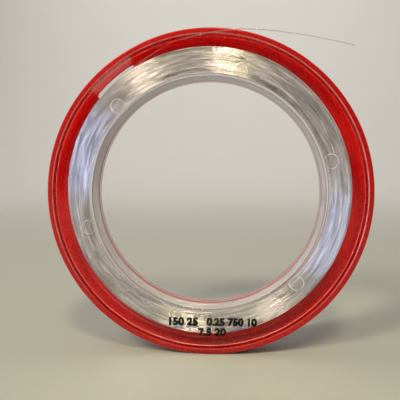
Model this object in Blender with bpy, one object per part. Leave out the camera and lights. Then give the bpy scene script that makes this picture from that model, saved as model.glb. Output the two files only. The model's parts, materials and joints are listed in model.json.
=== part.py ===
"""Fishing line spool: a clear bobbin of monofilament that turns in a flat red case.

The spool stands on its rim. Its axis is Y, the clear front faces -Y, Z is up, and the
origin is the middle of the bore. Lengths are metres and angles are degrees.

Pieces
    case          red moulding: outer wall and back floor, with a slot in the floor
    line_bobbin   clear moulding: front flange, hub tube, back flange and snap lip
    line_winding  the wound line, between the bobbin's two flanges
    line_end      the line from the winding, out past the front flange, to its cut end

The bobbin's snap lip sits in a counterbore behind the case floor, so the bobbin stays in
the case and turns about Y.
"""

from math import cos, pi, radians, sin

import bmesh
import bpy
from mathutils import Vector
from mathutils.geometry import interpolate_bezier

MM = 0.001

# Driving dimensions.
OVERALL_DIAMETER = 112.0 * MM
OVERALL_WIDTH = 12.0 * MM
BORE_DIAMETER = 80.0 * MM
CASE_WALL = 2.0 * MM
CASE_FLOOR = 1.6 * MM
HUB_WALL = 1.2 * MM
FRONT_FLANGE = 1.0 * MM
BACK_FLANGE = 0.8 * MM
FLANGE_RECESS = 0.2 * MM
WINDING_BUILD = 7.6 * MM
LINE_DIAMETER = 0.3 * MM

# Clearances.
TOUCH_GAP = 0.3 * MM
LINE_GAP = LINE_DIAMETER + 2 * TOUCH_GAP

# Snap joint behind the case floor.
LIP_REACH = 0.9 * MM
LIP_THICKNESS = 0.7 * MM

# Arc slot in the case floor, along the foot of the wall.
SLOT_ANGLE = 129.7
SLOT_LENGTH = 17.7 * MM
SLOT_WIDTH = 4.2 * MM
SLOT_CORNER = 1.3 * MM
SLOT_INSET = 0.2 * MM

# Round moulding marks on the front flange.
MARK_COUNT = 6
MARK_DIAMETER = 4.8 * MM
MARK_DEPTH = 0.15 * MM
MARK_FROM_HUB = 1.9 * MM
MARK_ANGLE = 15.4

# Edge breaks.
RIM_ROUND = 0.4 * MM
EDGE_BREAK = 0.2 * MM
WINDING_ROUND = 0.8 * MM

# Facets of a full turn.
TURN_STEPS = 96
MARK_STEPS = 24
ARC_STEPS = 12
CORNER_STEPS = 4

# Places that follow from the sizes above.
FRONT = -OVERALL_WIDTH / 2
BACK = OVERALL_WIDTH / 2
CASE_RADIUS = OVERALL_DIAMETER / 2
WALL_RADIUS = CASE_RADIUS - CASE_WALL
BORE_RADIUS = BORE_DIAMETER / 2
HUB_RADIUS = BORE_RADIUS + HUB_WALL
FLANGE_RADIUS = WALL_RADIUS - LINE_GAP
FLANGE_FACE = FRONT + FLANGE_RECESS
FLANGE_INNER_FACE = FLANGE_FACE + FRONT_FLANGE
FLOOR_FACE = BACK - CASE_FLOOR
BACK_FLANGE_REAR = FLOOR_FACE - TOUCH_GAP
BACK_FLANGE_FACE = BACK_FLANGE_REAR - BACK_FLANGE
LIP_RADIUS = HUB_RADIUS + LIP_REACH
LIP_FACE = BACK - LIP_THICKNESS
FLOOR_HOLE_RADIUS = HUB_RADIUS + TOUCH_GAP
COUNTERBORE_RADIUS = LIP_RADIUS + TOUCH_GAP
COUNTERBORE_FACE = LIP_FACE - TOUCH_GAP
WINDING_INNER_RADIUS = HUB_RADIUS + TOUCH_GAP
WINDING_RADIUS = HUB_RADIUS + WINDING_BUILD
WINDING_FRONT = FLANGE_INNER_FACE + TOUCH_GAP
WINDING_BACK = BACK_FLANGE_FACE - TOUCH_GAP

# The line's way out: points of its centre, from the winding to its cut end.
LINE_ROUTE = [
    (-35.50 * MM, -1.20 * MM, 34.28 * MM),
    (-31.40 * MM, -1.60 * MM, 38.78 * MM),
    (-26.60 * MM, -2.20 * MM, 43.10 * MM),
    (-20.80 * MM, -2.90 * MM, 47.10 * MM),
    (-15.20 * MM, -3.60 * MM, 50.20 * MM),
    (-10.90 * MM, -4.15 * MM, 52.20 * MM),
    (-7.45 * MM, -4.80 * MM, 53.02 * MM),
    (-4.67 * MM, -5.70 * MM, 53.35 * MM),
    (-2.10 * MM, -6.42 * MM, 53.58 * MM),
    (1.20 * MM, -6.65 * MM, 54.05 * MM),
    (5.80 * MM, -6.68 * MM, 54.65 * MM),
    (12.10 * MM, -6.70 * MM, 54.95 * MM),
    (20.60 * MM, -6.68 * MM, 54.35 * MM),
    (31.30 * MM, -6.65 * MM, 52.80 * MM),
    (37.10 * MM, -6.62 * MM, 51.65 * MM),
    (43.20 * MM, -6.60 * MM, 50.35 * MM),
    (48.30 * MM, -6.60 * MM, 49.05 * MM),
]
LINE_POINTS_PER_SPAN = 5


def clear_scene():
    """Remove what the scene starts with."""
    for old in list(bpy.data.objects):
        bpy.data.objects.remove(old, do_unlink=True)


def plastic(name, color, roughness, alpha=1.0):
    """A Principled material for one sub-part."""
    material = bpy.data.materials.new(name)
    material.use_nodes = True
    shader = material.node_tree.nodes["Principled BSDF"]
    shader.inputs["Base Color"].default_value = (*color, 1.0)
    shader.inputs["Roughness"].default_value = roughness
    shader.inputs["Metallic"].default_value = 0.0
    shader.inputs["Alpha"].default_value = alpha
    material.diffuse_color = (*color, alpha)
    return material


def add_object(name, mesh_or_curve, material=None):
    """Link an object at the origin, which lies on the bobbin's axis."""
    piece = bpy.data.objects.new(name, mesh_or_curve)
    bpy.context.scene.collection.objects.link(piece)
    if material is not None:
        piece.data.materials.append(material)
    return piece


def finish_mesh(name, shape, material=None):
    """Turn a bmesh into an object whose faces point out and whose round sides are smooth."""
    bmesh.ops.recalc_face_normals(shape, faces=shape.faces)
    mesh = bpy.data.meshes.new(name)
    shape.to_mesh(mesh)
    shape.free()
    mesh.shade_smooth()
    mesh.set_sharp_from_angle(angle=radians(30))
    return add_object(name, mesh, material)


def turned(name, profile, material):
    """Spin a closed profile of (radius, y) points about the Y axis."""
    shape = bmesh.new()
    corners = [shape.verts.new((radius, y, 0.0)) for radius, y in profile]
    edges = [shape.edges.new((a, b)) for a, b in zip(corners, corners[1:] + corners[:1])]
    bmesh.ops.spin(
        shape,
        geom=corners + edges,
        cent=(0.0, 0.0, 0.0),
        axis=(0.0, 1.0, 0.0),
        angle=2 * pi,
        steps=TURN_STEPS,
        use_merge=True,
    )
    return finish_mesh(name, shape, material)


def prism(shape, outline, low, high):
    """Add a prism to a bmesh: an outline of (x, z) points, run along Y from low to high."""
    near = [shape.verts.new((x, low, z)) for x, z in outline]
    cap = shape.faces.new(near)
    run = bmesh.ops.extrude_face_region(shape, geom=[cap], use_keep_orig=True)
    far = [item for item in run["geom"] if isinstance(item, bmesh.types.BMVert)]
    bmesh.ops.translate(shape, verts=far, vec=(0.0, high - low, 0.0))


def cut(piece, cutter):
    """Subtract a cutter, which the build leaves out."""
    cutter.hide_render = True
    cutter.display_type = "WIRE"
    hole = piece.modifiers.new(cutter.name, "BOOLEAN")
    hole.operation = "DIFFERENCE"
    hole.solver = "EXACT"
    hole.object = cutter


def around(radius, angle):
    """The (x, z) point at a radius and an angle, counted from +X towards +Z."""
    return radius * cos(radians(angle)), radius * sin(radians(angle))


def arc_slot_outline():
    """Outline of a slot that follows the case wall, with rounded corners."""
    outer = WALL_RADIUS - SLOT_INSET
    inner = outer - SLOT_WIDTH
    half = SLOT_LENGTH / outer * 90 / pi
    corners = [
        (outer - SLOT_CORNER, half, 1, 0),
        (outer - SLOT_CORNER, -half, -1, 90),
        (inner + SLOT_CORNER, -half, -1, 180),
        (inner + SLOT_CORNER, half, 1, 270),
    ]
    outline = []
    for index, (radius, edge, side, start) in enumerate(corners):
        inset = side * SLOT_CORNER / radius * 180 / pi
        centre = Vector(around(radius, SLOT_ANGLE + edge - inset))
        facing = SLOT_ANGLE + edge - inset + 90 - start
        for step in range(CORNER_STEPS + 1):
            turn = facing - 90 * step / CORNER_STEPS
            outline.append(tuple(centre + Vector(around(SLOT_CORNER, turn))))
        if index in (0, 2):
            rim = outer if index == 0 else inner
            span = half - SLOT_CORNER / radius * 180 / pi
            for step in range(1, ARC_STEPS):
                along = span * (1 - 2 * step / ARC_STEPS) * side
                outline.append(around(rim, SLOT_ANGLE + along))
    return outline


def make_case(material):
    """Outer wall and back floor in one turned piece, with its slot."""
    profile = [
        (WALL_RADIUS, FRONT + EDGE_BREAK),
        (WALL_RADIUS + EDGE_BREAK, FRONT),
        (CASE_RADIUS - RIM_ROUND, FRONT),
        (CASE_RADIUS, FRONT + RIM_ROUND),
        (CASE_RADIUS, BACK - RIM_ROUND),
        (CASE_RADIUS - RIM_ROUND, BACK),
        (COUNTERBORE_RADIUS, BACK),
        (COUNTERBORE_RADIUS, COUNTERBORE_FACE),
        (FLOOR_HOLE_RADIUS, COUNTERBORE_FACE),
        (FLOOR_HOLE_RADIUS, FLOOR_FACE),
        (WALL_RADIUS, FLOOR_FACE),
    ]
    case = turned("case", profile, material)
    slot = bmesh.new()
    prism(slot, arc_slot_outline(), FLOOR_FACE - CASE_FLOOR, BACK + CASE_FLOOR)
    cut(case, finish_mesh("floor_slot_cutter", slot))
    return case


def make_bobbin(material):
    """Two flanges on a hub tube whose back end is a snap lip."""
    profile = [
        (BORE_RADIUS, FLANGE_FACE + EDGE_BREAK),
        (BORE_RADIUS + EDGE_BREAK, FLANGE_FACE),
        (FLANGE_RADIUS - EDGE_BREAK, FLANGE_FACE),
        (FLANGE_RADIUS, FLANGE_FACE + EDGE_BREAK),
        (FLANGE_RADIUS, FLANGE_INNER_FACE),
        (HUB_RADIUS, FLANGE_INNER_FACE),
        (HUB_RADIUS, BACK_FLANGE_FACE),
        (FLANGE_RADIUS, BACK_FLANGE_FACE),
        (FLANGE_RADIUS, BACK_FLANGE_REAR),
        (HUB_RADIUS, BACK_FLANGE_REAR),
        (HUB_RADIUS, LIP_FACE),
        (LIP_RADIUS, LIP_FACE),
        (LIP_RADIUS, BACK - EDGE_BREAK),
        (LIP_RADIUS - EDGE_BREAK, BACK),
        (BORE_RADIUS, BACK),
    ]
    bobbin = turned("line_bobbin", profile, material)
    marks = bmesh.new()
    for index in range(MARK_COUNT):
        angle = MARK_ANGLE + 360 * index / MARK_COUNT
        middle = Vector(around(HUB_RADIUS + MARK_FROM_HUB, angle))
        steps = [360 * step / MARK_STEPS for step in range(MARK_STEPS)]
        outline = [tuple(middle + Vector(around(MARK_DIAMETER / 2, turn))) for turn in steps]
        prism(marks, outline, FRONT - MARK_DEPTH, FLANGE_FACE + MARK_DEPTH)
    cut(bobbin, finish_mesh("moulding_mark_cutter", marks))
    return bobbin


def make_winding(material):
    """The wound line as one ring with rounded outer edges."""
    profile = [
        (WINDING_INNER_RADIUS, WINDING_FRONT),
        (WINDING_RADIUS - WINDING_ROUND, WINDING_FRONT),
        (WINDING_RADIUS, WINDING_FRONT + WINDING_ROUND),
        (WINDING_RADIUS, WINDING_BACK - WINDING_ROUND),
        (WINDING_RADIUS - WINDING_ROUND, WINDING_BACK),
        (WINDING_INNER_RADIUS, WINDING_BACK),
    ]
    return turned("line_winding", profile, material)


def smooth_route(points, per_span):
    """Points of a smooth curve through the route's points, each span a cubic piece."""
    knots = [Vector(point) for point in points]
    count = len(knots)
    slopes = [(knots[min(i + 1, count - 1)] - knots[max(i - 1, 0)]) / 2 for i in range(count)]
    curve = [knots[0]]
    for i in range(count - 1):
        handle_a = knots[i] + slopes[i] / 3
        handle_b = knots[i + 1] - slopes[i + 1] / 3
        curve += interpolate_bezier(knots[i], handle_a, handle_b, knots[i + 1], per_span + 1)[1:]
    return curve


def make_line_end(material):
    """The line from the winding to its cut end, a round tube along its route."""
    curve = bpy.data.curves.new("line_end", "CURVE")
    curve.dimensions = "3D"
    curve.bevel_depth = LINE_DIAMETER / 2
    curve.bevel_resolution = 2
    curve.use_fill_caps = True
    points = smooth_route(LINE_ROUTE, LINE_POINTS_PER_SPAN)
    spline = curve.splines.new("POLY")
    spline.points.add(len(points) - 1)
    for point, place in zip(spline.points, points):
        point.co = (*place, 1.0)
    return add_object("line_end", curve, material)


def main():
    clear_scene()
    make_case(plastic("red_plastic", (0.62, 0.012, 0.010), 0.22))
    make_bobbin(plastic("clear_plastic", (0.90, 0.92, 0.93), 0.06, alpha=0.3))
    make_winding(plastic("wound_line", (0.66, 0.66, 0.67), 0.30))
    make_line_end(plastic("free_line", (0.72, 0.72, 0.72), 0.15))


main()
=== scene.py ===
"""Looks of the fishing line spool: red case, clear bobbin, wound line and its free end.

The spool stands on its rim. Its axis is Y, the clear front faces -Y, Z is up and the
origin is the middle of the bore. Angles round the axis count from +X to +Z.
"""

import json
from math import cos, degrees, hypot, pi, radians, sin

import bmesh
import bpy
import numpy as np
from mathutils import Euler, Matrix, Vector
from mathutils.geometry import interpolate_bezier

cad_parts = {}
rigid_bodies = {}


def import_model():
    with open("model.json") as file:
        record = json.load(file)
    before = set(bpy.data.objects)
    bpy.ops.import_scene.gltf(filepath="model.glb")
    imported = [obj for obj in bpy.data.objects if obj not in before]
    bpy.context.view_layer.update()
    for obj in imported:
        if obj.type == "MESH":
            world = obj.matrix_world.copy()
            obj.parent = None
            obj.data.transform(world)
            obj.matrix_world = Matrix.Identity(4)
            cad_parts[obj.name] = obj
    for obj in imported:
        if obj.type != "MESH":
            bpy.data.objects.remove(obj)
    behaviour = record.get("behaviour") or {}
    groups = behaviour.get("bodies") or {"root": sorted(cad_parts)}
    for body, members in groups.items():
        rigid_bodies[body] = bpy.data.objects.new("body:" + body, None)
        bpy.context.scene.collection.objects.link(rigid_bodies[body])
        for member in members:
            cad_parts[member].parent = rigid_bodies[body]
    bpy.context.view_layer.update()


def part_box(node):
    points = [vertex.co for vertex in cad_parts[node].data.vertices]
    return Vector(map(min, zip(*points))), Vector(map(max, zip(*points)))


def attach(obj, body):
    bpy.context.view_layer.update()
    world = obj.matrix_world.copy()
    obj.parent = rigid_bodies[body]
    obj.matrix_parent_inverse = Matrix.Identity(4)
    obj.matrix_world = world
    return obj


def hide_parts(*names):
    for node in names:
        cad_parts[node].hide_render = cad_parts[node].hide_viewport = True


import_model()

MM = 0.001

# Sizes read from the frame.
case_low, case_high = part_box("case")
bobbin_low, bobbin_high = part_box("line_bobbin")
winding_low, winding_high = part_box("line_winding")
CASE_RADIUS = case_high.x
FRONT, BACK = case_low.y, case_high.y
FLANGE_RADIUS = bobbin_high.x
FLANGE_FACE = bobbin_low.y
WINDING_RADIUS = winding_high.x
WINDING_FRONT, WINDING_BACK = winding_low.y, winding_high.y

# Sizes of the two mouldings.
CASE_WALL = 2.0 * MM
CASE_FLOOR = 1.6 * MM
BORE_RADIUS = 40.0 * MM
HUB_WALL = 1.2 * MM
FRONT_FLANGE = 1.0 * MM
BACK_FLANGE = 0.8 * MM
TOUCH_GAP = 0.3 * MM
LIP_REACH = 0.9 * MM
LIP_THICKNESS = 0.7 * MM
SLOT_ANGLE = 129.7
SLOT_LENGTH = 17.7 * MM
SLOT_WIDTH = 4.2 * MM
SLOT_CORNER = 1.3 * MM
SLOT_INSET = 0.2 * MM
SLOT_DRAFT = 0.45 * MM
MARK_COUNT = 6
MARK_DIAMETER = 4.8 * MM
MARK_DEPTH = 0.15 * MM
MARK_FROM_HUB = 1.9 * MM
MARK_ANGLE = 15.4

# Finish of the mouldings: fillets, and what the boolean cutters need.
EDGE_FILLET = 0.35 * MM
RIM_FILLET = 0.45 * MM
FOOT_FILLET = 0.15 * MM
FLOOR_EDGE_FILLET = 0.10 * MM
STEP_FILLET = 0.06 * MM
BACK_EDGE_FILLET = 0.15 * MM
FLANGE_FACE_FILLET = 0.25 * MM
FLANGE_REAR_FILLET = 0.20 * MM
HUB_ROOT_FILLET = 0.12 * MM
NECK_FILLET = 0.10 * MM
SNUG_GAP = 0.05 * MM
SLOT_LAND = 0.1 * MM
SLOT_HALF_ARC_STEPS = 16
SLOT_CORNER_STEPS = 6
CUT_OVERRUN = 0.5 * MM
SHARP_ANGLE = radians(40)
SHADING_SUPPORT = 0.03 * MM
MARK_STEPS = 64
MARK_RIM_SPREAD = 0.045 * MM
MARK_FOOT_INSET = 0.01 * MM
EDGE_SHADE_DEPTH = 0.12 * MM
FACES_FRONT = -0.9

# The hairline weld mark in the front flange, and the gate mark at its outer end.
WELD_ANGLE = 168.75
WELD_NEAR, WELD_FAR = 43.6 * MM, 52.3 * MM
WELD_HALF_WIDTH = 0.04 * MM
WELD_FOOT_SHARE = 0.1
WELD_DEPTH = 0.03 * MM
GATE_RADIUS = 0.32 * MM
GATE_STEPS = 24
GATE_OFFSET = 0.512 * MM
GATE_FOOT_SHARE = 0.2

WALL_RADIUS = CASE_RADIUS - CASE_WALL
HUB_RADIUS = BORE_RADIUS + HUB_WALL
FLOOR_FACE = BACK - CASE_FLOOR
LIP_FACE = BACK - LIP_THICKNESS
WINDING_INNER_RADIUS = HUB_RADIUS + TOUCH_GAP

# The line.
LINE_DIAMETER = 0.3 * MM
LINE_ROUTE = [
    (-35.50 * MM, -1.20 * MM, 34.28 * MM),
    (-31.40 * MM, -1.60 * MM, 38.78 * MM),
    (-26.60 * MM, -2.20 * MM, 43.10 * MM),
    (-20.80 * MM, -2.90 * MM, 47.10 * MM),
    (-15.20 * MM, -3.60 * MM, 50.20 * MM),
    (-10.90 * MM, -4.15 * MM, 52.20 * MM),
    (-7.45 * MM, -4.80 * MM, 53.02 * MM),
    (-4.67 * MM, -5.70 * MM, 53.35 * MM),
    (-2.10 * MM, -6.42 * MM, 53.58 * MM),
    (1.20 * MM, -6.65 * MM, 54.05 * MM),
    (5.80 * MM, -6.68 * MM, 54.65 * MM),
    (12.10 * MM, -6.70 * MM, 54.95 * MM),
    (20.60 * MM, -6.68 * MM, 54.35 * MM),
    (31.30 * MM, -6.65 * MM, 52.80 * MM),
    (37.10 * MM, -6.62 * MM, 51.65 * MM),
    (43.20 * MM, -6.60 * MM, 50.35 * MM),
    (48.30 * MM, -6.60 * MM, 49.05 * MM),
]
LINE_POINTS_PER_SPAN = 12

# Camera, at the height and distance of a hand-held close-up.
CAMERA_PLACE = Vector((7.5 * MM, -160.7 * MM, 9.5 * MM))
CAMERA_TILT = radians(85.85)
CAMERA_TURN = radians(3.7)
CAMERA_LENS = 40.86
CAMERA_SENSOR = 36.0


# ---------------------------------------------------------------- camera and cord


def add_camera():
    """The photo's view, and plain colours."""
    data = bpy.data.cameras.new("camera")
    data.lens = CAMERA_LENS
    data.sensor_width = CAMERA_SENSOR
    data.clip_start = 5 * MM
    camera = bpy.data.objects.new("camera", data)
    bpy.context.scene.collection.objects.link(camera)
    camera.location = CAMERA_PLACE
    camera.rotation_euler = Euler((CAMERA_TILT, 0.0, CAMERA_TURN))
    bpy.context.scene.camera = camera
    bpy.context.scene.view_settings.view_transform = "Standard"


def smooth_route(points, per_span):
    """Points of a smooth curve through the route's points, each span a cubic piece."""
    knots = [Vector(point) for point in points]
    count = len(knots)
    slopes = [(knots[min(i + 1, count - 1)] - knots[max(i - 1, 0)]) / 2 for i in range(count)]
    curve = [knots[0]]
    for i in range(count - 1):
        handle_a = knots[i] + slopes[i] / 3
        handle_b = knots[i + 1] - slopes[i + 1] / 3
        curve += interpolate_bezier(knots[i], handle_a, handle_b, knots[i + 1], per_span + 1)[1:]
    return curve


def link(name, data, material):
    """A new object of mesh or curve data, with one material."""
    piece = bpy.data.objects.new(name, data)
    bpy.context.scene.collection.objects.link(piece)
    data.materials.append(material)
    return piece


def make_free_line(material):
    """The line from the winding, past the flange and over the rim, to its cut end."""
    curve = bpy.data.curves.new("free_line", "CURVE")
    curve.dimensions = "3D"
    curve.bevel_depth = LINE_DIAMETER / 2
    curve.bevel_resolution = 4
    curve.use_fill_caps = True
    points = smooth_route(LINE_ROUTE, LINE_POINTS_PER_SPAN)
    spline = curve.splines.new("POLY")
    spline.points.add(len(points) - 1)
    for point, place in zip(spline.points, points):
        point.co = (*place, 1.0)
    spline.use_smooth = True
    line = link("free_line", curve, material)
    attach(line, "case")
    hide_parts("line_end")


# ---------------------------------------------------------------- shader helpers

# How much of y goes into a pattern's depth, so that it differs from front to back.
PATTERN_SLANT = 0.7
# What is left of a lamp's light past one surface of clear plastic.
CLEAR_SHADOW = (0.94, 0.95, 0.95)


class Shader:
    """A material's node tree, with short ways to add and join nodes."""

    def __init__(self, name):
        self.material = bpy.data.materials.new(name)
        self.material.use_nodes = True
        self.tree = self.material.node_tree
        self.surface = self.tree.nodes["Principled BSDF"]
        self.output = self.tree.nodes["Material Output"]
        self.place = self.node("ShaderNodeTexCoord").outputs["Object"]

    def node(self, kind, inputs=(), **settings):
        made = self.tree.nodes.new(kind)
        for key, value in settings.items():
            setattr(made, key, value)
        for key, value in dict(inputs).items():
            self.put(made.inputs[key], value)
        return made

    def put(self, socket, value):
        if isinstance(value, bpy.types.NodeSocket):
            self.tree.links.new(value, socket)
        elif hasattr(socket.default_value, "__len__") and len(socket.default_value) == 4:
            socket.default_value = (*value, 1.0) if len(value) == 3 else value
        else:
            socket.default_value = value

    def set(self, **values):
        """Set the Principled shader's sockets: spaces in a name are written as _."""
        for key, value in values.items():
            self.put(self.surface.inputs[key.replace("_", " ")], value)

    def math(self, operation, a, b=0.0, c=0.0):
        made = self.node("ShaderNodeMath", operation=operation)
        for socket, value in zip(made.inputs, (a, b, c)):
            self.put(socket, value)
        return made.outputs[0]

    def noise(self, scale, detail=3.0, roughness=0.5, where=None):
        """Noise of so many cells per metre."""
        made = self.node("ShaderNodeTexNoise")
        self.put(made.inputs["Scale"], scale)
        self.put(made.inputs["Detail"], detail)
        self.put(made.inputs["Roughness"], roughness)
        self.put(made.inputs["Vector"], where if where is not None else self.place)
        return made.outputs["Fac"]

    def span(self, value, low, high, to_low=0.0, to_high=1.0):
        """The value's share of the way from low to high, or mapped to another range."""
        made = self.node("ShaderNodeMapRange")
        self.put(made.inputs["Value"], value)
        self.put(made.inputs["From Min"], low)
        self.put(made.inputs["From Max"], high)
        self.put(made.inputs["To Min"], to_low)
        self.put(made.inputs["To Max"], to_high)
        return made.outputs["Result"]

    def mix(self, share, a, b):
        made = self.node("ShaderNodeMix", data_type="RGBA")
        self.put(made.inputs[0], share)
        self.put(made.inputs[6], a)
        self.put(made.inputs[7], b)
        return made.outputs[2]

    def turned_place(self):
        """Sockets of a point's radius and y."""
        parts = self.node("ShaderNodeSeparateXYZ", {"Vector": self.place}).outputs
        wide = self.math("POWER", parts["X"], 2.0)
        tall = self.math("POWER", parts["Z"], 2.0)
        return self.math("SQRT", self.math("ADD", wide, tall)), parts["Y"]

    def along_turns(self, radius, y, turn_stretch):
        """Coordinates in which a pattern is stretched, that many times, round the axis."""
        parts = self.node("ShaderNodeSeparateXYZ", {"Vector": self.place}).outputs
        scale = self.math("MULTIPLY", radius, turn_stretch / WINDING_RADIUS)
        wide = self.math("DIVIDE", parts["X"], scale)
        tall = self.math("DIVIDE", parts["Z"], scale)
        depth = self.math("ADD", radius, self.math("MULTIPLY", y, PATTERN_SLANT))
        return self.node("ShaderNodeCombineXYZ", {"X": wide, "Y": tall, "Z": depth}).outputs[0]

    def bump(self, height, distance, strength=1.0):
        made = self.node("ShaderNodeBump")
        self.put(made.inputs["Height"], height)
        self.put(made.inputs["Distance"], distance)
        self.put(made.inputs["Strength"], strength)
        self.put(self.surface.inputs["Normal"], made.outputs["Normal"])

    def let_lamps_through(self):
        """Shadow rays pass the surface, so what is behind clear plastic is lit."""
        path = self.node("ShaderNodeLightPath")
        open_way = self.node("ShaderNodeBsdfTransparent", {"Color": CLEAR_SHADOW})
        both = self.node("ShaderNodeMixShader")
        self.put(both.inputs[0], path.outputs["Is Shadow Ray"])
        self.tree.links.new(self.surface.outputs[0], both.inputs[1])
        self.tree.links.new(open_way.outputs[0], both.inputs[2])
        self.tree.links.new(both.outputs[0], self.output.inputs["Surface"])


# ---------------------------------------------------------------- materials

RED_DEEP, RED_BRIGHT = (0.340, 0.0044, 0.0038), (0.420, 0.0068, 0.0058)
# Painted light inside the case wall: a dark painted shade for the front gap, a bright painted
# glow deeper in.
RED_GAP_PAINTED_SHADE, RED_INSIDE_PAINTED_GLOW = (0.30, 0.005, 0.005), (0.70, 0.011, 0.013)
# A painted pale pink highlight on the rim's inner front edge.
RED_EDGE_BASE, RED_EDGE_PAINTED_HIGHLIGHT = (0.36, 0.016, 0.014), (0.60, 0.21, 0.23)
# Painted shade: a dark red line for the gap between the flange's edge and the case wall.
FLANGE_EDGE_SHADE, FLANGE_EDGE_SHADE_PALE = (0.50, 0.03, 0.03), (0.66, 0.07, 0.07)
FROST_DULL, FROST_PALE = (0.80, 0.80, 0.82), (0.95, 0.95, 0.96)
CLEAR_TINT = (0.965, 0.945, 0.975)
CLEAR_GLOSS = (0.30, 0.30, 0.31)
TURNS_PALE, TURNS_DULL = (0.74, 0.64, 0.82), (0.16, 0.13, 0.16)
# The core is a darker copy of the turns' colour: painted shade between and under the turns.
CORE_SHADED_PALE, CORE_SHADED_DULL = (0.40, 0.32, 0.40), (0.14, 0.10, 0.13)
LINE_DULL, LINE_PALE = (0.86, 0.86, 0.88), (0.97, 0.97, 0.96)
INK_FULL, INK_THIN = (0.003, 0.003, 0.003), (0.018, 0.016, 0.017)
PAINT_DULL, PAINT_PALE = (0.47, 0.46, 0.43), (0.49, 0.48, 0.45)

# Between these depths behind the flange's face, the case's inner wall goes from a painted shade
# in the gap to a painted glow further in.
GLOW_STARTS, GLOW_REACHED = 2.6 * MM, 3.6 * MM
# Between these heights, in radii of the case, the rim's inner edge takes on its painted
# highlight.
EDGE_HIGHLIGHT_STARTS, EDGE_HIGHLIGHT_REACHED = -0.75, -0.30
# How much a turn's own tone, and the streaks along it, count in its colour.
TONE_SHARE, STREAK_SHARE = 0.30, 0.35


def red_plastic():
    """Glossy, slightly translucent red moulding, streaked round the axis; painted gap shade and
    glow inside.
    """
    s = Shader("red_plastic")
    radius, y = s.turned_place()
    streaks = s.noise(900.0, 4.0, 0.6, s.along_turns(radius, y, 8.0))
    clouds = s.noise(60.0, 2.0)
    share = s.math("MULTIPLY", s.math("ADD", streaks, clouds), 0.5)
    outside = s.mix(share, RED_DEEP, RED_BRIGHT)
    within_wall = s.span(radius, WALL_RADIUS, WALL_RADIUS + 0.1 * MM, 1.0, 0.0)
    before_back = s.span(y, BACK - 0.3 * MM, BACK, 1.0, 0.0)
    depth = s.span(y, FLANGE_FACE + GLOW_STARTS, FLANGE_FACE + GLOW_REACHED)
    # painted light: darker painted shade in the front gap, a brighter painted glow deeper inside
    # the wall
    inside = s.mix(depth, RED_GAP_PAINTED_SHADE, RED_INSIDE_PAINTED_GLOW)
    body = s.mix(s.math("MULTIPLY", within_wall, before_back), outside, inside)
    s.set(
        Base_Color=body,
        Roughness=s.span(s.noise(2400.0, 3.0, 0.7), 0.35, 0.75, 0.20, 0.36),
        IOR=1.46,
        Subsurface_Weight=1.0,
        Subsurface_Radius=(9.0, 0.30, 0.25),
        Subsurface_Scale=MM,
    )
    s.bump(s.noise(1300.0, 2.0), 0.010 * MM, 0.35)
    return s.material


def red_edge_painted_highlight():
    """The rim's inner front edge, with a painted highlight that is left off at the bottom."""
    s = Shader("red_plastic_edge_painted_highlight")
    height = s.node("ShaderNodeSeparateXYZ", {"Vector": s.place}).outputs["Z"]
    highlight_band = s.span(height, EDGE_HIGHLIGHT_STARTS * CASE_RADIUS, EDGE_HIGHLIGHT_REACHED * CASE_RADIUS)
    # painted highlight along the edge, above the bottom of the rim
    painted_edge = s.math("MULTIPLY", s.span(s.noise(420.0, 3.0), 0.30, 0.62, 0.4, 1.0), highlight_band)
    s.set(
        Base_Color=s.mix(painted_edge, RED_EDGE_BASE, RED_EDGE_PAINTED_HIGHLIGHT),
        Roughness=s.span(s.noise(2600.0, 3.0, 0.7), 0.35, 0.75, 0.35, 0.55),
        IOR=1.5,
    )
    return s.material


def flange_edge_painted_shade():
    """The flange's outer edge: dull, with a painted dark red shade for the gap by the case wall.
    """
    s = Shader("flange_edge_painted_shade")
    s.set(
        Base_Color=s.mix(s.noise(700.0, 2.0), FLANGE_EDGE_SHADE, FLANGE_EDGE_SHADE_PALE),
        Roughness=s.span(s.noise(2600.0, 2.0), 0.3, 0.7, 0.40, 0.60),
        Transmission_Weight=0.7,
        IOR=1.5,
    )
    return s.material


def frosted_clear():
    """Scuffed clear plastic, on the walls of shallow marks in the flange."""
    s = Shader("frosted_clear_plastic")
    s.set(
        Base_Color=s.mix(s.noise(900.0, 2.0), FROST_DULL, FROST_PALE),
        Roughness=s.span(s.noise(2600.0, 2.0), 0.3, 0.7, 0.35, 0.55),
        Transmission_Weight=0.9,
        IOR=1.5,
    )
    s.let_lamps_through()
    return s.material


def clear_plastic():
    """Clear polystyrene with faint flow marks."""
    s = Shader("clear_plastic")
    radius, y = s.turned_place()
    s.set(
        Base_Color=CLEAR_TINT,
        Transmission_Weight=1.0,
        IOR=1.52,
        Specular_Tint=CLEAR_GLOSS,
        Roughness=s.span(s.noise(2000.0, 3.0, 0.7), 0.40, 0.80, 0.015, 0.07),
    )
    s.bump(s.noise(260.0, 2.0, 0.5, s.along_turns(radius, y, 6.0)), 0.02 * MM, 0.25)
    s.let_lamps_through()
    return s.material


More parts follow.
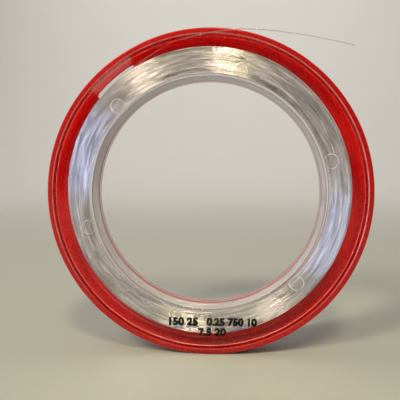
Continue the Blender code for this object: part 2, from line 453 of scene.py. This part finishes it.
def nylon(name, pale, dull):
    """Monofilament lying in turns: each turn has its own tone, with streaks along it.

    It is mostly metallic, because a thick layer of clear turns glints like spun metal.
    """
    s = Shader(name)
    radius, y = s.turned_place()
    tone = s.node("ShaderNodeAttribute", attribute_name="tone").outputs["Fac"]
    streaks = s.noise(2200.0, 3.0, 0.6, s.along_turns(radius, y, 16.0))
    bundles = s.noise(800.0, 2.0, 0.5, s.along_turns(radius, y, 12.0))
    marks = s.math("ADD", s.span(streaks, 0.32, 0.68), s.span(bundles, 0.34, 0.66))
    by_tone = s.math("MULTIPLY", tone, TONE_SHARE)
    by_marks = s.math("MULTIPLY", marks, STREAK_SHARE)
    share = s.math("ADD", by_tone, by_marks)
    s.set(
        Base_Color=s.mix(share, dull, pale),
        Roughness=s.span(streaks, 0.3, 0.75, 0.06, 0.14),
        IOR=1.53,
        Metallic=0.96,
    )
    s.bump(s.noise(5200.0, 2.0, 0.6), 0.004 * MM, 0.3)
    return s.material


def single_line():
    """One clear nylon line."""
    s = Shader("free_line_nylon")
    s.set(
        Base_Color=s.mix(s.noise(700.0, 2.0), LINE_DULL, LINE_PALE),
        Transmission_Weight=0.9,
        IOR=1.53,
        Roughness=s.span(s.noise(3200.0, 2.0), 0.3, 0.7, 0.04, 0.12),
    )
    return s.material


def ink():
    """Black pad print, a little thin in places."""
    s = Shader("print_ink")
    thin = s.span(s.noise(2600.0, 4.0, 0.7), 0.56, 0.78)
    s.set(
        Base_Color=s.mix(thin, INK_FULL, INK_THIN),
        Roughness=s.span(s.noise(1800.0, 2.0), 0.3, 0.7, 0.55, 0.75),
        Specular_IOR_Level=0.12,
    )
    return s.material


def studio():
    """Pale, slightly uneven matt paint."""
    s = Shader("studio_paint")
    s.set(
        Base_Color=s.mix(s.noise(9.0, 3.0), PAINT_DULL, PAINT_PALE),
        Roughness=0.5,
    )
    s.bump(s.noise(420.0, 2.0), 0.05 * MM, 0.25)
    return s.material


# ---------------------------------------------------------------- mesh helpers


def mesh_of(name, places, faces):
    """A smooth mesh of an array of points and an array of four-sided faces."""
    mesh = bpy.data.meshes.new(name)
    mesh.from_pydata(places.reshape(-1, 3).tolist(), [], faces.reshape(-1, 4).tolist())
    mesh.shade_smooth()
    return mesh


def around(radius, angle):
    """The (x, z) point at a radius and an angle in degrees."""
    return radius * cos(radians(angle)), radius * sin(radians(angle))


def ring(middle, radius, steps):
    """Outline of a circle round an (x, z) point."""
    return [tuple(middle + Vector(around(radius, 360 * step / steps))) for step in range(steps)]


def rounded(corners, steps=6):
    """A closed (radius, y) profile whose corners (radius, y, fillet) are arcs.

    A point just beyond each end of an arc keeps the straight stretches' shading flat.
    """
    profile = []
    count = len(corners)
    for i, (radius, y, fillet) in enumerate(corners):
        here = Vector((radius, y))
        back = (Vector(corners[i - 1][:2]) - here).normalized()
        ahead = (Vector(corners[(i + 1) % count][:2]) - here).normalized()
        if fillet == 0.0:
            profile.append(here)
            continue
        half = back.angle(ahead) / 2
        centre = here + (back + ahead).normalized() * (fillet / sin(half))
        reach = fillet / np.tan(half)
        start = here + back * reach - centre
        end = here + ahead * reach - centre
        turn = start.angle_signed(end)
        profile.append(here + back * (reach + SHADING_SUPPORT))
        for step in range(steps + 1):
            angle = -turn * step / steps
            arm = Vector((
                start.x * cos(angle) - start.y * sin(angle),
                start.x * sin(angle) + start.y * cos(angle),
            ))
            profile.append(centre + arm)
        profile.append(here + ahead * (reach + SHADING_SUPPORT))
    return [tuple(point) for point in profile]


def turned(name, profile, material, steps=512, swell=None):
    """Turn a counter-clockwise (radius, y) profile about Y, its radii changed by swell."""
    turn = np.linspace(0.0, 2 * pi, steps, endpoint=False)
    shape = np.array(profile)
    radius = np.broadcast_to(shape[:, 0], (steps, len(shape)))
    if swell is not None:
        radius = swell(radius, turn[:, None])
    places = np.empty((steps, len(shape), 3))
    places[..., 0] = radius * np.cos(turn)[:, None]
    places[..., 1] = shape[:, 1]
    places[..., 2] = radius * np.sin(turn)[:, None]
    index = np.arange(steps * len(shape)).reshape(steps, len(shape))
    ahead, up = np.roll(index, -1, axis=0), np.roll(index, -1, axis=1)
    faces = np.stack([index, up, np.roll(ahead, -1, axis=1), ahead], axis=-1)
    mesh = mesh_of(name, places, faces)
    mesh.set_sharp_from_angle(angle=SHARP_ANGLE)
    return link(name, mesh, material)


def prism_stack(shape, sections):
    """Add a closed solid through sections, each an (outline of (x, z), y)."""
    rings = [[shape.verts.new((x, y, z)) for x, z in outline] for outline, y in sections]
    shape.faces.new(rings[0])
    for low, high in zip(rings, rings[1:]):
        for i in range(len(low)):
            j = (i + 1) % len(low)
            shape.faces.new((low[i], low[j], high[j], high[i]))
    shape.faces.new(list(reversed(rings[-1])))


def cut_out(piece, shape, material):
    """Subtract a bmesh from a piece for good. The faces it cuts get the material."""
    bmesh.ops.recalc_face_normals(shape, faces=shape.faces)
    mesh = bpy.data.meshes.new("cutter")
    shape.to_mesh(mesh)
    shape.free()
    mesh.materials.append(material)
    cutter = bpy.data.objects.new("cutter", mesh)
    bpy.context.scene.collection.objects.link(cutter)
    hole = piece.modifiers.new("hole", "BOOLEAN")
    hole.operation = "DIFFERENCE"
    hole.solver = "EXACT"
    hole.material_mode = "TRANSFER"
    hole.object = cutter
    view = bpy.context.evaluated_depsgraph_get()
    view.update()
    cut_mesh = bpy.data.meshes.new_from_object(piece.evaluated_get(view))
    piece.modifiers.clear()
    piece.data = cut_mesh
    bpy.data.objects.remove(cutter)
    cut_mesh.set_sharp_from_angle(angle=SHARP_ANGLE)


def arc_slot(grow):
    """Outline of the slot that follows the case wall, grown all round."""
    outer = WALL_RADIUS - SLOT_INSET
    inner = outer - SLOT_WIDTH
    half = degrees(SLOT_LENGTH / outer / 2)
    outline = []
    for radius, across, side in ((outer, inner, 1), (inner, outer, -1)):
        middle = radius - side * SLOT_CORNER
        reach = half - degrees(SLOT_CORNER / middle)
        for step in range(2 * SLOT_HALF_ARC_STEPS + 1):
            angle = SLOT_ANGLE - side * reach * (1 - step / SLOT_HALF_ARC_STEPS)
            outline.append(around(radius + side * grow, angle))
        end = SLOT_ANGLE + side * reach
        near_corner = Vector(around(middle, end))
        far_corner = Vector(around(across + side * SLOT_CORNER, end))
        heading = end + (0 if side > 0 else 180)
        for step in range(1, SLOT_CORNER_STEPS + 1):
            turn = heading + 90 * step / SLOT_CORNER_STEPS
            outline.append(tuple(near_corner + Vector(around(SLOT_CORNER + grow, turn))))
        for step in range(SLOT_CORNER_STEPS):
            turn = heading + 90 + 90 * step / SLOT_CORNER_STEPS
            outline.append(tuple(far_corner + Vector(around(SLOT_CORNER + grow, turn))))
    return outline


# ---------------------------------------------------------------- mouldings


def make_case(material, edge_material):
    """Red case with filleted edges. Its slot widens towards the back."""
    hole = HUB_RADIUS + SNUG_GAP
    seat = HUB_RADIUS + LIP_REACH + TOUCH_GAP
    corners = [
        (CASE_RADIUS, FRONT, RIM_FILLET),
        (CASE_RADIUS, BACK, RIM_FILLET),
        (seat, BACK, BACK_EDGE_FILLET),
        (seat, LIP_FACE - TOUCH_GAP, 0.0),
        (hole, LIP_FACE - TOUCH_GAP, STEP_FILLET),
        (hole, FLOOR_FACE, FLOOR_EDGE_FILLET),
        (WALL_RADIUS, FLOOR_FACE, FOOT_FILLET),
        (WALL_RADIUS, FRONT, EDGE_FILLET),
    ]
    case = turned("red_case", rounded(corners), material)
    slot = bmesh.new()
    plain, wide = arc_slot(0.0), arc_slot(SLOT_DRAFT)
    prism_stack(slot, [
        (plain, FLOOR_FACE - CUT_OVERRUN),
        (plain, FLOOR_FACE + SLOT_LAND),
        (wide, BACK),
        (wide, BACK + CUT_OVERRUN),
    ])
    cut_out(case, slot, material)
    case.data.materials.append(edge_material)
    edge_slot = len(case.data.materials) - 1
    for face in case.data.polygons:
        middle = face.center
        radius = hypot(middle.x, middle.z)
        if middle.y < FRONT + EDGE_FILLET and radius < WALL_RADIUS + EDGE_FILLET:
            face.material_index = edge_slot
    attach(case, "case")
    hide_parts("case")


def weld_line():
    """Cutter for the flange's hairline weld mark and the gate mark at its outer end."""
    cutter = bmesh.new()
    out = Vector(around(1.0, WELD_ANGLE))
    side = Vector(around(1.0, WELD_ANGLE + 90))
    half = WELD_HALF_WIDTH
    ends = ((WELD_NEAR, -half), (WELD_FAR, -half), (WELD_FAR, half), (WELD_NEAR, half))
    wide = [tuple(out * reach + side * shift) for reach, shift in ends]
    foot = [tuple(out * reach + side * shift * WELD_FOOT_SHARE) for reach, shift in ends]
    prism_stack(cutter, [
        (wide, FRONT - WELD_DEPTH),
        (wide, FLANGE_FACE),
        (foot, FLANGE_FACE + WELD_DEPTH),
    ])
    middle = out * (WELD_FAR + GATE_OFFSET)
    gate = ring(middle, GATE_RADIUS, GATE_STEPS)
    pit = ring(middle, GATE_RADIUS * GATE_FOOT_SHARE, GATE_STEPS)
    prism_stack(cutter, [
        (gate, FRONT - WELD_DEPTH),
        (gate, FLANGE_FACE),
        (pit, FLANGE_FACE + 2 * WELD_DEPTH),
    ])
    return cutter


def round_marks():
    """Cutter for the shallow round moulding marks in the front flange."""
    cutter = bmesh.new()
    for index in range(MARK_COUNT):
        angle = MARK_ANGLE + 360 * index / MARK_COUNT
        middle = Vector(around(HUB_RADIUS + MARK_FROM_HUB, angle))
        wide = ring(middle, MARK_DIAMETER / 2 + MARK_RIM_SPREAD, MARK_STEPS)
        foot = ring(middle, MARK_DIAMETER / 2 - MARK_FOOT_INSET, MARK_STEPS)
        prism_stack(cutter, [
            (wide, FRONT - MARK_DEPTH),
            (wide, FLANGE_FACE),
            (foot, FLANGE_FACE + MARK_DEPTH),
        ])
    return cutter


def make_bobbin(material, frosted, painted_edge):
    """Clear bobbin: frosted walls in its round marks, and painted shade on its front flange
    edge.
    """
    front_rear = FLANGE_FACE + FRONT_FLANGE
    back_rear = FLOOR_FACE - TOUCH_GAP
    back_front = back_rear - BACK_FLANGE
    corners = [
        (BORE_RADIUS, FLANGE_FACE, FLANGE_FACE_FILLET),
        (FLANGE_RADIUS, FLANGE_FACE, FLANGE_FACE_FILLET),
        (FLANGE_RADIUS, front_rear, FLANGE_REAR_FILLET),
        (HUB_RADIUS, front_rear, HUB_ROOT_FILLET),
        (HUB_RADIUS, back_front, HUB_ROOT_FILLET),
        (FLANGE_RADIUS, back_front, FLANGE_REAR_FILLET),
        (FLANGE_RADIUS, back_rear, FLANGE_REAR_FILLET),
        (HUB_RADIUS, back_rear, NECK_FILLET),
        (HUB_RADIUS, LIP_FACE, 0.0),
        (HUB_RADIUS + LIP_REACH, LIP_FACE, NECK_FILLET),
        (HUB_RADIUS + LIP_REACH, BACK, FLANGE_REAR_FILLET),
        (BORE_RADIUS, BACK, FLANGE_REAR_FILLET),
    ]
    bobbin = turned("clear_bobbin", rounded(corners), material)
    cut_out(bobbin, round_marks(), frosted)
    cut_out(bobbin, weld_line(), material)
    bobbin.data.materials.append(painted_edge)
    clear_slot = list(bobbin.data.materials).index(material)
    edge_shade_slot = list(bobbin.data.materials).index(painted_edge)
    for face in bobbin.data.polygons:
        middle = face.center
        radius = hypot(middle.x, middle.z)
        if face.normal.y < FACES_FRONT:
            face.material_index = clear_slot
        # painted shade: the front flange's outer edge takes the dark red material
        elif middle.y < front_rear and radius > FLANGE_RADIUS - EDGE_SHADE_DEPTH:
            face.material_index = edge_shade_slot
    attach(bobbin, "bobbin")
    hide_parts("line_bobbin")


# ---------------------------------------------------------------- wound line

WINDING_FULL_RADIUS = WINDING_RADIUS + 0.45 * MM
WINDING_LEAN = 0.60 * MM
WINDING_SQUASH = 0.25 * MM
WINDING_LEAN_ANGLE = radians(100)
WINDING_SEED = 30
TURN_PITCH = 0.3 * MM
TURN_SECTIONS = 240
TURN_SIDES = 7

# Crossings start between these angles, and each takes a width between these, in radians.
CROSSING_STARTS = (0.3, 2 * pi - 0.6)
CROSSING_WIDTHS = (0.10, 0.32)
TURN_TONES = (0.1, 0.9)
TONE_DRIFT = 0.1

# The front layers of turns, and the turns round the outside and the inside.
FRONT_LAYERS = 3
FRONT_CROSSINGS = 170
FRONT_WANDER = 0.025 * MM
FRONT_LIFT = 0.13 * MM
FRONT_WAVE = 0.02 * MM
LAYER_STEP = 0.24 * MM
ROUND_CROSSINGS = 60
ROUND_WANDER = 0.05 * MM
ROUND_LIFT = 0.1 * MM
ROUND_WAVE = 0.05 * MM
OUTER_LIFT_SHARE = 0.6
INNER_LIFT_SHARE, INNER_WAVE_SHARE = 0.3, 0.2

CORE_DEPTH = 0.45 * MM
CORE_FILLET = 0.3 * MM


def swollen(radius, turn):
    """The winding is fuller at the upper left, where the line leaves it."""
    share = (radius - WINDING_INNER_RADIUS) / (WINDING_FULL_RADIUS - WINDING_INNER_RADIUS)
    away = turn - WINDING_LEAN_ANGLE
    return radius + share * (WINDING_LEAN * np.cos(away) + WINDING_SQUASH * np.cos(2 * away))


def wobble(rng, turn, size, waves=9):
    """A smooth periodic wander round the axis."""
    total = np.zeros_like(turn)
    for wave in range(1, waves + 1):
        total += rng.normal() * np.cos(wave * turn + rng.uniform(0, 2 * pi)) / wave ** 0.5
    return size * total / 2


def wobble_rows(rng, count, size):
    """One wander for each of so many turns."""
    turn = np.linspace(0.0, 2 * pi, TURN_SECTIONS, endpoint=False)
    return np.array([wobble(rng, turn, size) for _ in range(count)])


def tubes(name, radii, ys, following, tones, material):
    """Turns of line as tubes. Turn i runs on into turn following[i] after a full circle."""
    turns, sections = radii.shape
    turn = np.linspace(0.0, 2 * pi, sections, endpoint=False)
    side = np.linspace(0.0, 2 * pi, TURN_SIDES, endpoint=False)
    radius = radii[..., None] + LINE_DIAMETER / 2 * np.cos(side)
    places = np.empty((turns, sections, TURN_SIDES, 3))
    places[..., 0] = radius * np.cos(turn)[None, :, None]
    places[..., 1] = ys[..., None] + LINE_DIAMETER / 2 * np.sin(side)
    places[..., 2] = radius * np.sin(turn)[None, :, None]
    index = np.arange(places[..., 0].size).reshape(turns, sections, TURN_SIDES)
    ahead = np.concatenate([index[:, 1:], index[following][:, :1]], axis=1)
    faces = np.stack([index, np.roll(index, -1, 2), np.roll(ahead, -1, 2), ahead], axis=-1)
    mesh = mesh_of(name, places, faces)
    tone = mesh.attributes.new("tone", "FLOAT", "POINT")
    tone.data.foreach_set("value", np.repeat(tones.ravel(), TURN_SIDES).astype(np.float32))
    piece = link(name, mesh, material)
    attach(piece, "bobbin")


def lay_turns(rng, count, crossings, wander, lift):
    """Slots that turns lie in, with crossings where neighbours change places.

    Returns each turn's slot (as a float), its drift off it and its height over the layer,
    section by section, then the turn that it runs on into, and its tone.
    """
    turn = np.linspace(0.0, 2 * pi, TURN_SECTIONS, endpoint=False)
    drift = wobble_rows(rng, count, wander)
    slots = np.repeat(np.arange(count)[:, None], TURN_SECTIONS, axis=1).astype(float)
    heights = np.zeros((count, TURN_SECTIONS))
    holder = list(range(count))
    busy = {}
    for start in sorted(rng.uniform(*CROSSING_STARTS) for _ in range(crossings)):
        slot = int(rng.integers(0, count - 1))
        width = rng.uniform(*CROSSING_WIDTHS)
        if max(busy.get(slot, 0.0), busy.get(slot + 1, 0.0)) > start:
            continue
        busy[slot] = busy[slot + 1] = start + width
        share = np.clip((turn - start) / width, 0, 1)
        step = share * share * (3 - 2 * share)
        hump = np.sin(pi * share)
        a, b = holder[slot], holder[slot + 1]
        slots[a] += step
        slots[b] -= step
        heights[a] += lift * hump
        heights[b] -= lift * hump
        holder[slot], holder[slot + 1] = b, a
    following = np.zeros(count, int)
    for slot, strand in enumerate(holder):
        following[strand] = slot
    whole = np.floor(np.clip(slots, 0, count - 1)).astype(int)
    part = slots - whole
    upper = np.minimum(whole + 1, count - 1)
    section = np.arange(TURN_SECTIONS)[None, :]
    wandered = drift[whole, section] * (1 - part) + drift[upper, section] * part
    tones = rng.uniform(*TURN_TONES, (count, 1)) + wandered / wander * TONE_DRIFT
    return slots, wandered, heights, following, np.clip(tones, 0, 1)


def make_winding(material, core_painted_shade):
    """A core ring with real turns of line on its front, outer and inner faces; the core's darker
    colour is painted shade.
    """
    rng = np.random.default_rng(WINDING_SEED)
    turn = np.linspace(0.0, 2 * pi, TURN_SECTIONS, endpoint=False)[None, :]
    half = LINE_DIAMETER / 2
    inner = HUB_RADIUS + SNUG_GAP + half
    outer = WINDING_FULL_RADIUS - half
    count = int((WINDING_FULL_RADIUS - WINDING_INNER_RADIUS) / TURN_PITCH)
    for layer in range(FRONT_LAYERS):
        slots, drift, heights, following, tones = lay_turns(
            rng, count, FRONT_CROSSINGS, FRONT_WANDER, FRONT_LIFT
        )
        radii = swollen(inner + slots * TURN_PITCH + (layer % 2) * half + drift, turn)
        wave = wobble_rows(rng, count, FRONT_WAVE)
        ys = WINDING_FRONT + half + layer * LAYER_STEP - heights + wave
        tubes(f"line_turns_front_{layer + 1}", radii, ys, following, tones, material)

    across = int((WINDING_BACK - WINDING_FRONT - LINE_DIAMETER) / TURN_PITCH)
    for name, base in (("line_turns_outer", outer), ("line_turns_inner", inner)):
        slots, drift, heights, following, tones = lay_turns(
            rng, across, ROUND_CROSSINGS, ROUND_WANDER, ROUND_LIFT
        )
        ys = WINDING_FRONT + LINE_DIAMETER + slots * TURN_PITCH + drift
        wave = wobble_rows(rng, across, ROUND_WAVE)
        if base == inner:
            radii = base + np.abs(heights) * INNER_LIFT_SHARE + np.abs(wave) * INNER_WAVE_SHARE
        else:
            radii = swollen(base + heights * OUTER_LIFT_SHARE + wave, turn)
        tubes(name, radii, ys, following, tones, material)

    corners = [
        (WINDING_INNER_RADIUS + half, WINDING_FRONT + CORE_DEPTH, 0.0),
        (WINDING_FULL_RADIUS - CORE_DEPTH, WINDING_FRONT + CORE_DEPTH, CORE_FILLET),
        (WINDING_FULL_RADIUS - CORE_DEPTH, WINDING_BACK, CORE_FILLET),
        (WINDING_INNER_RADIUS + half, WINDING_BACK, 0.0),
    ]
    core = turned("line_core", rounded(corners), core_painted_shade, steps=360, swell=swollen)
    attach(core, "bobbin")
    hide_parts("line_winding")


# ---------------------------------------------------------------- print

PRINT_HEIGHT = 2.95 * MM
PRINT_RELIEF = 0.02 * MM
PRINT_WEIGHT = 0.05
PRINT_EXTRUDE = 0.01
# Each row's name, text, left and right ends, and height of its middle.
PRINT_ROWS = [
    ("print_row_upper_left", "150 25", -13.4 * MM, -3.2 * MM, -44.4 * MM),
    ("print_row_upper_right", "0.25 750 10", -0.2 * MM, 17.3 * MM, -44.4 * MM),
    ("print_row_lower", "7.5 20", -3.2 * MM, 6.6 * MM, -48.1 * MM),
]


def make_print(material):
    """Generic numerals on the clear front flange."""
    for name, text, left, right, height in PRINT_ROWS:
        curve = bpy.data.curves.new(name, "FONT")
        curve.body = text
        curve.extrude = PRINT_EXTRUDE
        curve.offset = PRINT_WEIGHT
        writing = bpy.data.objects.new(name, curve)
        bpy.context.scene.collection.objects.link(writing)
        view = bpy.context.evaluated_depsgraph_get()
        view.update()
        mesh = bpy.data.meshes.new_from_object(writing.evaluated_get(view))
        bpy.data.objects.remove(writing)
        low = Vector([min(v.co[i] for v in mesh.vertices) for i in range(3)])
        high = Vector([max(v.co[i] for v in mesh.vertices) for i in range(3)])
        for vertex in mesh.vertices:
            share = [(vertex.co[i] - low[i]) / (high[i] - low[i]) for i in range(3)]
            vertex.co = (
                left + (right - left) * share[0],
                FLANGE_FACE - PRINT_RELIEF * share[2],
                height + PRINT_HEIGHT * (share[1] - 0.5),
            )
        piece = link(name, mesh, material)
        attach(piece, "bobbin")


# ---------------------------------------------------------------- studio

FLOOR_HEIGHT = -CASE_RADIUS
STUDIO_WIDTH = 6.0
STUDIO_FRONT = -3.0
STUDIO_BEND = 0.9
STUDIO_BEND_RADIUS = 0.8
STUDIO_BEND_STEPS = 24
STUDIO_TOP = 3.0

BACKDROP_LAMP_PLACE = Vector((0.0, 0.70, 1.0))
BACKDROP_LAMP_AIM = Vector((0.0, STUDIO_BEND + STUDIO_BEND_RADIUS, 0.30))
BACKDROP_LAMP_SIZE = (2.4, 0.5)
BACKDROP_LAMP_WATTS = 20.0
BACKDROP_WHITE = (1.0, 0.97, 0.94)

WARM, COOL = (1.0, 0.95, 0.62), (0.55, 0.78, 1.0)
GLINT_WARM, GLINT_COOL = (1.0, 1.03, 0.36), (0.36, 0.72, 1.0)

# The studio's air glows less in front, where the clear flange would mirror it.
AIR_COLOUR = (1.0, 0.955, 0.92, 1.0)
SKY_GLOW = 0.36
FRONT_GLOW = 0.04
FRONT_EDGES = (-0.85, -0.25)


def make_studio(material):
    """Pale floor that curves up into a backdrop."""
    outline = [(STUDIO_FRONT, FLOOR_HEIGHT)]
    for step in range(STUDIO_BEND_STEPS + 1):
        angle = radians(90 * step / STUDIO_BEND_STEPS)
        outline.append((
            STUDIO_BEND + STUDIO_BEND_RADIUS * sin(angle),
            FLOOR_HEIGHT + STUDIO_BEND_RADIUS * (1 - cos(angle)),
        ))
    outline.append((STUDIO_BEND + STUDIO_BEND_RADIUS, STUDIO_TOP))
    places = [(side * STUDIO_WIDTH / 2, y, z) for y, z in outline for side in (-1, 1)]
    faces = [(2 * i, 2 * i + 1, 2 * i + 3, 2 * i + 2) for i in range(len(outline) - 1)]
    mesh = bpy.data.meshes.new("studio")
    mesh.from_pydata(places, [], faces)
    mesh.shade_smooth()
    link("studio", mesh, material)


def area_lamp(name, size, watts, colour):
    """A rectangular lamp, not yet placed."""
    data = bpy.data.lights.new(name, "AREA")
    data.shape = "RECTANGLE"
    data.size, data.size_y = size
    data.color = colour
    data.energy = watts
    lamp = bpy.data.objects.new(name, data)
    bpy.context.scene.collection.objects.link(lamp)
    return lamp


def add_lamp(name, angle, tilt, distance, size, radiance, colour, only=None):
    """A lamp in front, at an angle round the axis and a tilt off it, facing the spool.

    With a collection in only, it lights nothing else.
    """
    lamp = area_lamp(name, size, radiance * pi * size[0] * size[1], colour)
    out = sin(radians(tilt))
    side, up = around(out, angle)
    way = Vector((side, -cos(radians(tilt)), up))
    lamp.location = way * distance
    lamp.rotation_euler = way.to_track_quat("Z", "Y").to_euler()
    if only is not None:
        lamp.light_linking.receiver_collection = only


def add_backdrop_lamp():
    """A wide lamp over the spool that lights the backdrop behind it."""
    lamp = area_lamp("lamp_backdrop", BACKDROP_LAMP_SIZE, BACKDROP_LAMP_WATTS, BACKDROP_WHITE)
    lamp.location = BACKDROP_LAMP_PLACE
    way = BACKDROP_LAMP_PLACE - BACKDROP_LAMP_AIM
    lamp.rotation_euler = way.to_track_quat("Z", "Y").to_euler()


def fill_studio_air():
    """A soft glow from all round, even where the camera sees it."""
    world = bpy.data.worlds.new("studio_air")
    world.use_nodes = True
    tree = world.node_tree
    background = tree.nodes["Background"]
    background.inputs["Color"].default_value = AIR_COLOUR
    facing = tree.nodes.new("ShaderNodeSeparateXYZ")
    tree.links.new(tree.nodes.new("ShaderNodeTexCoord").outputs["Generated"], facing.inputs[0])
    dim = tree.nodes.new("ShaderNodeMapRange")
    dim.interpolation_type = "SMOOTHSTEP"
    tree.links.new(facing.outputs["Y"], dim.inputs["Value"])
    dim.inputs["From Min"].default_value, dim.inputs["From Max"].default_value = FRONT_EDGES
    dim.inputs["To Min"].default_value = FRONT_GLOW
    dim.inputs["To Max"].default_value = SKY_GLOW
    seen = tree.nodes.new("ShaderNodeLightPath").outputs["Is Camera Ray"]
    pick = tree.nodes.new("ShaderNodeMix")
    tree.links.new(seen, pick.inputs[0])
    tree.links.new(dim.outputs[0], pick.inputs[2])
    pick.inputs[3].default_value = SKY_GLOW
    tree.links.new(pick.outputs[0], background.inputs["Strength"])
    bpy.context.scene.world = world


def light_studio():
    """Lamps for everything, and small strong ones that only glint on the wound line."""
    line = bpy.data.collections.new("wound_line")
    for piece in bpy.data.objects:
        if piece.name.startswith("line_turns"):
            line.objects.link(piece)
    add_lamp("lamp_top", 85.5, 52, 0.9, (0.14, 0.20), 36.0, WARM)
    add_lamp("lamp_upper_left", 124, 52, 0.9, (0.14, 0.20), 42.0, WARM)
    add_lamp("window_left", 165, 55, 1.0, (0.22, 0.55), 7.5, COOL)
    add_lamp("glint_top", 83.5, 52, 0.9, (0.10, 0.20), 1700.0, GLINT_WARM, line)
    add_lamp("glint_upper_left", 124, 52, 0.9, (0.06, 0.20), 1700.0, GLINT_WARM, line)
    add_lamp("glint_window", 165, 55, 1.0, (0.14, 0.55), 320.0, GLINT_COOL, line)
    add_backdrop_lamp()
    fill_studio_air()


add_camera()
make_free_line(single_line())
make_case(red_plastic(), red_edge_painted_highlight())
make_bobbin(clear_plastic(), frosted_clear(), flange_edge_painted_shade())
make_winding(
    nylon("wound_nylon", TURNS_PALE, TURNS_DULL),
    # darker copy of the line's colour for the core: painted shade under the turns
    nylon("wound_nylon_painted_shade", CORE_SHADED_PALE, CORE_SHADED_DULL),
)
make_print(ink())
make_studio(studio())
light_studio()
